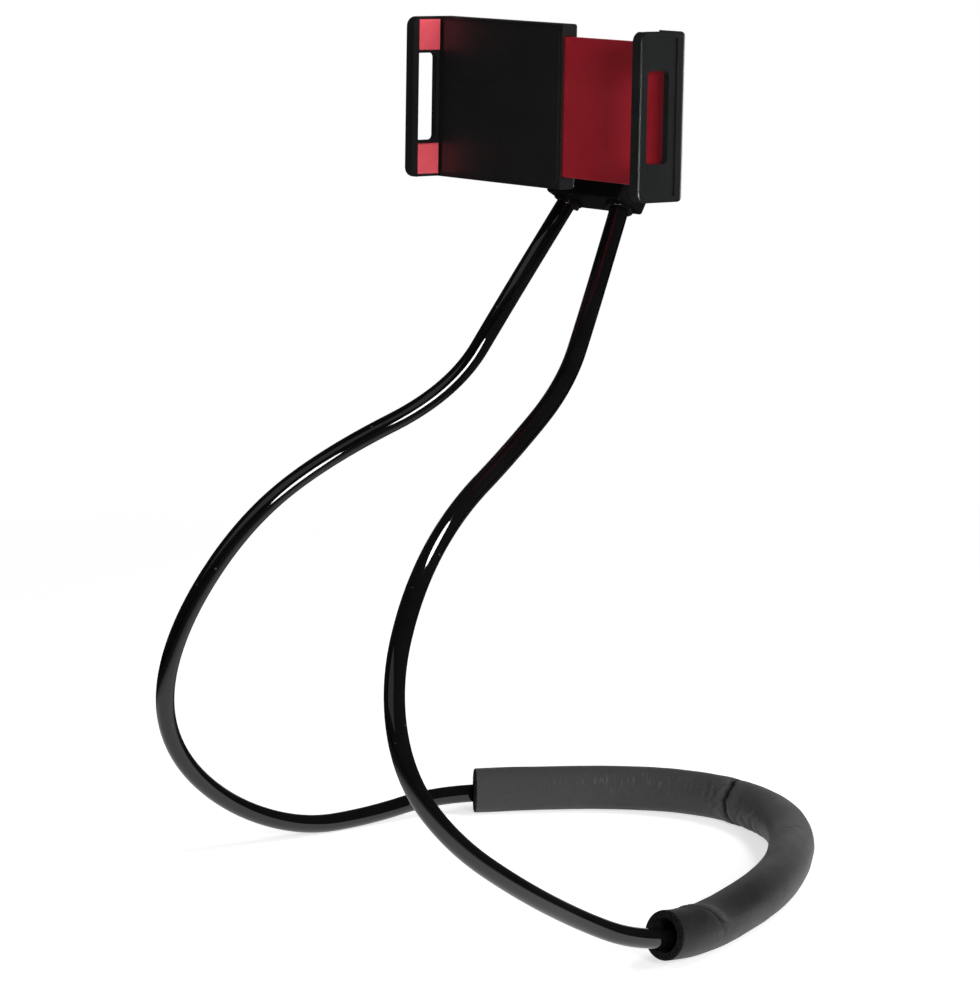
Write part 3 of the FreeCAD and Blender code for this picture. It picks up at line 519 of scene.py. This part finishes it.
def folded(along, turn):
    # The folds alone: sunk along each crease, swollen beside it.
    height = np.zeros(np.broadcast(along, turn).shape)
    for middle, start, end, slant, depth, width, lip in pad_folds:
        off_turn = (turn - (start + end) / 2 + 180) % 360 - 180
        half = (end - start) / 2
        share = smooth_window(off_turn, -half, half, half * 0.9)
        wander = PAD_FOLD_WANDER * field(np.array([[middle]]), turn, 7.0, 3.0, middle)
        off = along - middle - slant * off_turn / (2 * half) - wander
        crease = np.exp(-np.abs(off / width) ** 1.3)
        swell = np.exp(-(off / (3.2 * width)) ** 2)
        over = np.clip(off / width + 0.5, 0, 1) * np.exp(-np.clip(off, 0, None) / (6 * width))
        height += share * (depth * (0.45 * swell - 1.1 * crease) + lip * over)
    return height


near_steps = np.array([0.0, 0.12, 0.35, 0.7])
inner_steps = np.linspace(PAD_END_ROUND, pad_length - PAD_END_ROUND,
                          int((pad_length - 2 * PAD_END_ROUND) / PAD_STEP))
outer_steps = np.concatenate([near_steps, inner_steps, (pad_length - near_steps)[::-1]])
mouth_steps = np.array([0.0, 0.8, 1.8, 3.2, 5.0, 7.5, 11.0])
bore_steps = np.concatenate([mouth_steps, np.linspace(20, pad_length - 20, 40),
                             (pad_length - mouth_steps)[::-1]])
pad_turn = np.linspace(0, 360, PAD_SIDES, endpoint=False)[None, :]
even = np.ones_like(pad_turn)


def from_ends(steps):
    return np.minimum(steps, pad_length - steps)


folds = folded(outer_steps[:, None], pad_turn)
crumpled_skin = wrinkled(outer_steps[:, None], pad_turn)
ripple = field(outer_steps[:, None], pad_turn, 2.2, 1.5, 31.0)
skin_height = (PAD_SWELL * field(outer_steps[:, None], pad_turn, 46.0, 0.9, 3.0)
               + PAD_DIMPLE * field(outer_steps[:, None], pad_turn, 11.0, 2.2, 17.0)
               + folds + PAD_RIPPLE * crumpled_skin * (0.22 - np.abs(ripple)))
tuck = np.clip(PAD_END_ROUND - from_ends(outer_steps), 0, None)
rounding = PAD_END_ROUND - np.sqrt(PAD_END_ROUND ** 2 - tuck ** 2)
calm = 0.25 + 0.75 * np.clip(from_ends(outer_steps) / 8, 0, 1)
outer_radius = PAD_DIAMETER / 2 - rounding[:, None] + skin_height * calm[:, None]
bore_radius = PAD_BORE / 2 + PAD_MOUTH_FLARE * np.exp(-(from_ends(bore_steps) / PAD_MOUTH_REACH) ** 2)
face_radii = np.linspace(PAD_DIAMETER / 2 - PAD_END_ROUND, bore_radius[0], 7)[1:-1, None]
torn = PAD_TORN * field(face_radii, pad_turn, 0.4, 9.0, 5.0)
pad_radius = np.concatenate([outer_radius, face_radii * even, bore_radius[::-1, None] * even,
                             face_radii[::-1] * even])
pad_steps = np.concatenate([outer_steps[:, None] * even, pad_length - PAD_FACE_SUNK + torn,
                            bore_steps[::-1, None] * even, (PAD_FACE_SUNK + torn)[::-1]])
far_share = np.clip(1 - (pad_length - pad_steps) / PAD_FAR_SLANT_REACH, 0, 1) ** 2
pad_steps = pad_steps - PAD_FAR_SLANT * far_share * np.cos(np.radians(pad_turn))


def on_pad(steps):
    # Point, side and up of the pad's line at each distance along it.
    points = np.stack([np.interp(steps, pad_along, pad_line[:, k]) for k in range(3)], axis=-1)
    runs = unit(np.gradient(pad_line, pad_along, axis=0))
    run = unit(np.stack([np.interp(steps, pad_along, runs[:, k]) for k in range(3)], axis=-1))
    side = unit(np.cross(run, (0, 0, 1.0)))
    return points, side, np.cross(side, run)


points, side, up = on_pad(pad_steps)
spin = np.radians(pad_turn)[..., None]
pad_rings = points + pad_radius[..., None] * (np.cos(spin) * side + np.sin(spin) * up)
pad_rings[..., 2] = np.maximum(pad_rings[..., 2], 0.05)
foam_pad = walled_tube("foam_neck_pad", pad_rings * MM, pad_steps.mean(axis=1) * MM,
                       math.pi * PAD_DIAMETER * MM)


def skin_mask(name, mask):
    # Keeps a mask over the outer skin for the foam's shader. The cut ends and the bore have none of it.
    values = np.zeros(pad_rings.shape[:2])
    values[:len(outer_steps)] = mask
    foam_pad.data.attributes.new(name, "FLOAT", "POINT").data.foreach_set("value", values.ravel())


skin_mask("crumple", crumpled_skin)
# Painted shade: a mask of the creases' hollows, where the skin's colour is darkened.
skin_mask("painted_crease_shade", np.clip(-folds / 1.2, 0, 1))
# Painted highlight: a mask of the folds' ridges, where the skin's colour is made lighter.
skin_mask("painted_ridge_highlight", np.clip(folds / 0.7, 0, 1))
skin_mask("painted_light", np.interp(outer_steps, PAD_PAINTED_LIGHT_PLACES, PAD_PAINTED_LIGHT)[:, None] * even)
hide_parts("neck_pad")
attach(foam_pad, "loop")

foam_skin, tree, shader = new_finish(
    "foam_skin", Sheen_Weight=0.05, Sheen_Roughness=0.5, Specular_IOR_Level=0.22)
skin = effect(tree, grain_effect, Grain_Scale=1500.0, Drift_Scale=38.0)
mapped = add_node(tree, "UVMap", uv_map="along_and_round")
stretch = add_node(tree, "Mapping")
stretch.inputs["Scale"].default_value = (900.0, 210.0, 1.0)
fibre = add_node(tree, "TexNoise")
fibre.inputs["Scale"].default_value = 1.0
fibre.inputs["Detail"].default_value = 3.0
link(tree, (mapped.outputs[0], stretch.inputs[0]), (stretch.outputs[0], fibre.inputs["Vector"]))
crumpled = add_node(tree, "Attribute", attribute_name="crumple")
crease_shade = add_node(tree, "Attribute", attribute_name="painted_crease_shade")
painted_ridge_highlight = add_node(tree, "Attribute", attribute_name="painted_ridge_highlight")
pebble = add_node(tree, "TexVoronoi", feature="DISTANCE_TO_EDGE")
pebble.inputs["Scale"].default_value = 900.0
spot = add_node(tree, "TexCoord")
link(tree, (spot.outputs["Object"], pebble.inputs["Vector"]))
leather = ranged(tree, pebble.outputs[0], 0.0, 0.25, 0, 1)
strokes = ranged(tree, fibre.outputs[0], 0.54, 0.68, 0, 1)
strokes = calculate(tree, "MULTIPLY", strokes, crumpled.outputs["Fac"])
relief = calculate(tree, "ADD", calculate(tree, "MULTIPLY", leather, 0.6), strokes)
relief = calculate(tree, "ADD", relief, calculate(tree, "MULTIPLY", skin.outputs["Grain"], 0.5))
# Painted light and shade: the skin's grey follows the painted light mask along the pad.
painted_light = add_node(tree, "Attribute", attribute_name="painted_light")
grey = mixed(tree, painted_light.outputs["Fac"], (0.0085, 0.0085, 0.0095), (0.085, 0.085, 0.087))
grey = mixed(tree, calculate(tree, "MULTIPLY", skin.outputs["Drift"], 0.25), grey, (0.055, 0.055, 0.057))
# Painted highlight: the base colour is lighter along the crinkles and on the folds' ridges, standing in for
# their shine.
painted_highlight = calculate(tree, "MAXIMUM", calculate(tree, "MULTIPLY", strokes, 0.85),
                   calculate(tree, "MULTIPLY", painted_ridge_highlight.outputs["Fac"], 0.45))
painted_highlight = mixed(tree, painted_highlight, grey, (0.100, 0.100, 0.103))
# Painted shade: the base colour goes near black in the creases' hollows.
link(tree, (mixed(tree, ranged(tree, crease_shade.outputs["Fac"], 0.1, 0.8, 0, 0.9), painted_highlight, (0.006, 0.006, 0.006)),
            shader.inputs["Base Color"]),
     (ranged(tree, skin.outputs["Drift"], 0, 1, 0.48, 0.6), shader.inputs["Roughness"]))
bumped(tree, shader, relief, 0.16)

foam_cut, tree, shader = new_finish("foam_cut", Roughness=0.95, Specular_IOR_Level=0.1)
pores = add_node(tree, "TexVoronoi")
pores.inputs["Scale"].default_value = 1100.0
spot = add_node(tree, "TexCoord")
link(tree, (spot.outputs["Object"], pores.inputs["Vector"]))
# Painted shade: the pores' pits are darker than their walls.
link(tree, (mixed(tree, pores.outputs["Distance"], (0.003, 0.003, 0.003), (0.022, 0.022, 0.023)),
            shader.inputs["Base Color"]))
bumped(tree, shader, pores.outputs["Distance"], 0.5)
dressed(foam_pad, foam_skin, foam_cut)
foam_slots = np.ones((len(pad_rings), PAD_SIDES), dtype=int)
foam_slots[len(near_steps) - 1:len(outer_steps) - len(near_steps)] = 0
foam_pad.data.polygons.foreach_set("material_index", foam_slots.ravel())


# Hub. One black moulding that takes both arms from below, a pressed-in collar round each arm, and one
# screw from behind that pulls the ball stud into its front.
def moulded(name, dark, light, rough, grain_depth, dusty, **levels):
    # Moulded plastic: spark-eroded matt grain, a slow drift of tone, and a little dust.
    material, tree, shader = new_finish(name, **levels)
    skin = effect(tree, grain_effect, Grain_Scale=2600.0, Drift_Scale=55.0)
    dust = effect(tree, dust_effect, Speck_Scale=900.0, Bare_Share=1 - dusty)
    tone = mixed(tree, skin.outputs["Drift"], dark, light)
    link(tree, (mixed(tree, dust.outputs["Specks"], tone, (0.10, 0.10, 0.10)), shader.inputs["Base Color"]),
         (ranged(tree, skin.outputs["Drift"], 0, 1, *rough), shader.inputs["Roughness"]))
    bumped(tree, shader, skin.outputs["Grain"], grain_depth)
    return material


shell_black = moulded("shell_black", (0.0128, 0.0135, 0.0140), (0.0148, 0.0155, 0.0160), (0.37, 0.42), 0.05,
                      0.02)
# Painted shade: the hub's black is a darker, less shiny copy of the shell's, standing in for the shade under
# the clamp.
hub_shaded_black = moulded("hub_shaded_black", (0.0042, 0.0042, 0.0044), (0.0056, 0.0056, 0.0058), (0.42, 0.48), 0.04, 0.01,
                    Specular_IOR_Level=0.12)
collar_black = moulded("collar_gloss", (0.005, 0.005, 0.005), (0.008, 0.008, 0.008), (0.10, 0.16), 0.01, 0.02)
paint("hub_body", hub_shaded_black)
paint("arm_collars", collar_black)

STUD_SCREW_HEAD = 6.0
STUD_SCREW_HEAD_HEIGHT = 2.2
STUD_SCREW_SHANK = 3.0
STUD_SCREW_SHANK_LENGTH = 12.0
# Shares of a screw head's diameter, and the cross's depth as a share of its height.
HEAD_DOME = 0.85
CROSS_WIDTH = 0.17
CROSS_LENGTH = 0.62
CROSS_DEPTH = 0.55
plated_steel = bare_metal("plated_steel", 4000.0, 300.0, (0.26, 0.26, 0.27), (0.36, 0.36, 0.37), (0.24, 0.42))


def screw_tree():
    # A domed head with a cross recess on a plain shank, set at every point given, heads towards +Y.
    tree = bpy.data.node_groups.new("cross_screws", "GeometryNodeTree")
    tree.interface.new_socket("Geometry", in_out="INPUT", socket_type="NodeSocketGeometry")
    for label in ("Head Diameter", "Head Height", "Shank Diameter", "Shank Length", "Cross Width",
                  "Cross Length", "Cross Depth"):
        tree.interface.new_socket(label, in_out="INPUT", socket_type="NodeSocketFloat")
    tree.interface.new_socket("Seed", in_out="INPUT", socket_type="NodeSocketInt")
    tree.interface.new_socket("Finish", in_out="INPUT", socket_type="NodeSocketMaterial")
    tree.interface.new_socket("Geometry", in_out="OUTPUT", socket_type="NodeSocketGeometry")

    def add(kind, **settings):
        node = tree.nodes.new(kind)
        for name, setting in settings.items():
            setattr(node, name, setting)
        return node

    def times(socket, factor):
        return calculate(tree, "MULTIPLY", socket, factor)

    def moved(mesh, height):
        shift = add("ShaderNodeCombineXYZ")
        move = add("GeometryNodeTransform")
        link(tree, (height, shift.inputs["Z"]), (shift.outputs[0], move.inputs["Translation"]),
             (mesh, move.inputs["Geometry"]))
        return move.outputs[0]

    def bar(length, width, depth):
        form = add("ShaderNodeCombineXYZ")
        cube = add("GeometryNodeMeshCube")
        link(tree, (length, form.inputs["X"]), (width, form.inputs["Y"]), (depth, form.inputs["Z"]),
             (form.outputs[0], cube.inputs["Size"]))
        return cube.outputs["Mesh"]

    given = add("NodeGroupInput").outputs
    head = add("GeometryNodeMeshCylinder")
    head.inputs["Vertices"].default_value = 40
    link(tree, (times(given["Head Diameter"], 0.5), head.inputs["Radius"]),
         (given["Head Height"], head.inputs["Depth"]))
    dome = add("GeometryNodeMeshUVSphere")
    dome.inputs["Segments"].default_value = 64
    dome.inputs["Rings"].default_value = 64
    link(tree, (times(given["Head Diameter"], HEAD_DOME), dome.inputs["Radius"]))
    top = calculate(tree, "SUBTRACT", given["Head Height"], times(given["Head Diameter"], HEAD_DOME))
    capped = add("GeometryNodeMeshBoolean", operation="INTERSECT", solver="EXACT")
    link(tree, (moved(head.outputs["Mesh"], times(given["Head Height"], 0.5)), capped.inputs["Mesh 2"]),
         (moved(dome.outputs["Mesh"], top), capped.inputs["Mesh 2"]))
    deep = times(given["Cross Depth"], 2)
    cross = add("GeometryNodeMeshBoolean", operation="UNION", solver="EXACT")
    link(tree, (bar(given["Cross Length"], given["Cross Width"], deep), cross.inputs["Mesh 2"]),
         (bar(given["Cross Width"], given["Cross Length"], deep), cross.inputs["Mesh 2"]))
    slotted = add("GeometryNodeMeshBoolean", operation="DIFFERENCE", solver="EXACT")
    link(tree, (capped.outputs["Mesh"], slotted.inputs["Mesh 1"]),
         (moved(cross.outputs["Mesh"], given["Head Height"]), slotted.inputs["Mesh 2"]))
    shank = add("GeometryNodeMeshCylinder")
    shank.inputs["Vertices"].default_value = 24
    link(tree, (times(given["Shank Diameter"], 0.5), shank.inputs["Radius"]),
         (given["Shank Length"], shank.inputs["Depth"]))
    whole = add("GeometryNodeJoinGeometry")
    link(tree, (slotted.outputs["Mesh"], whole.inputs[0]),
         (moved(shank.outputs["Mesh"], times(given["Shank Length"], -0.5)), whole.inputs[0]))
    twist = add("FunctionNodeRandomValue", data_type="FLOAT")
    twist.inputs[3].default_value = math.pi / 2
    turned = add("ShaderNodeCombineXYZ")
    spots = add("GeometryNodeInstanceOnPoints")
    spots.inputs["Rotation"].default_value = (-math.pi / 2, 0, 0)
    spun = add("GeometryNodeRotateInstances")
    real = add("GeometryNodeRealizeInstances")
    coat = add("GeometryNodeSetMaterial")
    link(tree, (given["Seed"], twist.inputs["Seed"]), (twist.outputs[1], turned.inputs["Z"]),
         (given["Geometry"], spots.inputs["Points"]), (whole.outputs[0], spots.inputs["Instance"]),
         (spots.outputs[0], spun.inputs["Instances"]), (turned.outputs[0], spun.inputs["Rotation"]),
         (spun.outputs[0], real.inputs["Geometry"]), (real.outputs[0], coat.inputs["Geometry"]),
         (given["Finish"], coat.inputs["Material"]), (coat.outputs[0], add("NodeGroupOutput").inputs[0]))
    return tree


cross_screws = screw_tree()


def screw_seats(node, head, head_height):
    # The seats of a group of screws, from the corners of the box round their heads.
    low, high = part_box(node)
    edge = head / 2 * MM

    def places(axis):
        # One place where the box is as wide as a head, and one at each end where it is wider.
        if high[axis] - low[axis] < 3 * edge:
            return [(low[axis] + high[axis]) / 2]
        return [low[axis] + edge, high[axis] - edge]

    return [(x, high[1] - head_height * MM, z) for x in places(0) for z in places(2)]


def set_screws(name, node, body, head, head_height, shank, shank_length, seed):
    # Screws with their heads' undersides at the seats, in place of a CAD node.
    spots = bpy.data.meshes.new(name + "_seats")
    spots.from_pydata(screw_seats(node, head, head_height), [], [])
    holder = placed(name + "_seats", spots)
    maker = holder.modifiers.new("screws", "NODES")
    maker.node_group = cross_screws
    levels = {"Head Diameter": head * MM, "Head Height": head_height * MM, "Shank Diameter": shank * MM,
              "Shank Length": shank_length * MM, "Cross Width": head * CROSS_WIDTH * MM,
              "Cross Length": head * CROSS_LENGTH * MM, "Cross Depth": head_height * CROSS_DEPTH * MM,
              "Seed": seed, "Finish": plated_steel}
    for socket in cross_screws.interface.items_tree:
        if socket.in_out == "INPUT" and socket.name in levels:
            maker[socket.identifier] = levels[socket.name]
    piece = placed(name, mesh_of(holder))
    holder.modifiers.remove(maker)
    bpy.data.objects.remove(holder)
    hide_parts(node)
    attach(piece, body)


set_screws("hub_rear_screw", "stud_screw", "loop", STUD_SCREW_HEAD, STUD_SCREW_HEAD_HEIGHT, STUD_SCREW_SHANK,
           STUD_SCREW_SHANK_LENGTH, 4)


# Ball joint. A black moulded stud with a ball at its tip, a nylon cup that gives it drag, and a fluted ring
# nut that squeezes the socket round it.
nylon = moulded("natural_nylon", (0.72, 0.71, 0.66), (0.80, 0.79, 0.74), (0.40, 0.50), 0.03, 0.0)
paint("ball_stud", shell_black)
paint("ball_seat", nylon)
paint("ball_nut", shell_black)


# Clamp body. A black tray with the fixed jaw, closed from behind by a cover that carries the ball's
# socket, with four small screws through its corners.
SMALL_HEAD = 3.4
SMALL_HEAD_HEIGHT = 1.2
SMALL_SHANK = 2.0
SMALL_SHANK_LENGTH = 4.6
paint("clamp_tray", shell_black)
paint("clamp_cover", shell_black)
set_screws("cover_corner_screws", "cover_screws", "clamp", SMALL_HEAD, SMALL_HEAD_HEIGHT, SMALL_SHANK,
           SMALL_SHANK_LENGTH, 7)


# Pull springs. Two coils of drawn spring wire lie in the back of the slide and close the jaws. Each is hooked
# on a post of the cover and a post of the slide, so it draws together as the jaws close.
SPRING_MERGE = 0.001
spring_wire = bare_metal("spring_wire", 5000.0, 200.0, (0.48, 0.48, 0.49), (0.62, 0.62, 0.63), (0.2, 0.34))
for node in ("upper_spring", "lower_spring"):
    coil = placed(node.replace("spring", "pull_spring"), bpy.data.meshes.new(node + "_coil"))
    wound = bmesh.new()
    wound.from_mesh(cad_nodes[node].data)
    bmesh.ops.remove_doubles(wound, verts=wound.verts, dist=SPRING_MERGE * MM)
    wound.to_mesh(coil.data)
    wound.free()
    smoothed(coil.data)
    dressed(coil, spring_wire)
    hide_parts(node)
    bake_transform(coil)


# Slide and moving jaw. A red plate runs in the tray's channel, and two screws through the foot of the
# black jaw hold it to the plate's end.
# The slide's own red plastic, painted darker than the pads' red as painted shade inside the channel and the
# slots.
slide_shaded_red = moulded("slide_shaded_red", (0.50, 0.016, 0.030), (0.53, 0.018, 0.034), (0.36, 0.42), 0.04, 0.0)
paint("slide", slide_shaded_red)
paint("moving_jaw", shell_black)
set_screws("jaw_foot_screws", "jaw_screws", "jaw", SMALL_HEAD, SMALL_HEAD_HEIGHT, SMALL_SHANK,
           SMALL_SHANK_LENGTH, 11)


# Grip pads. Soft red rubber blocks with rounded faces, moulded apart and glued to each jaw, one above and one
# below its cable slot.
pad_red = moulded("pad_red", (0.95, 0.112, 0.146), (0.98, 0.121, 0.158), (0.60, 0.72), 0.06, 0.0)
paint("fixed_jaw_pads", pad_red)
paint("moving_jaw_pads", pad_red)


# Rear light. A low softbox behind the holder shows the moulded back of hub and clamp. It reaches only these
# pieces, so the table, the pad and the glossy arms keep the light that they have in front.
rear_softbox = softbox("rear_fill", (-0.15, 1.5, 0.20), (0.0, 0.0, 0.30), (1.0, 0.30), 7)
lit_from_behind = bpy.data.collections.new("lit_from_behind")
for node in ("hub_body", "ball_stud", "ball_nut", "clamp_cover", "clamp_tray", "slide", "moving_jaw"):
    lit_from_behind.objects.link(cad_nodes[node])
for name in ("hub_rear_screw", "cover_corner_screws", "jaw_foot_screws"):
    lit_from_behind.objects.link(bpy.data.objects[name])
rear_softbox.light_linking.receiver_collection = lit_from_behind
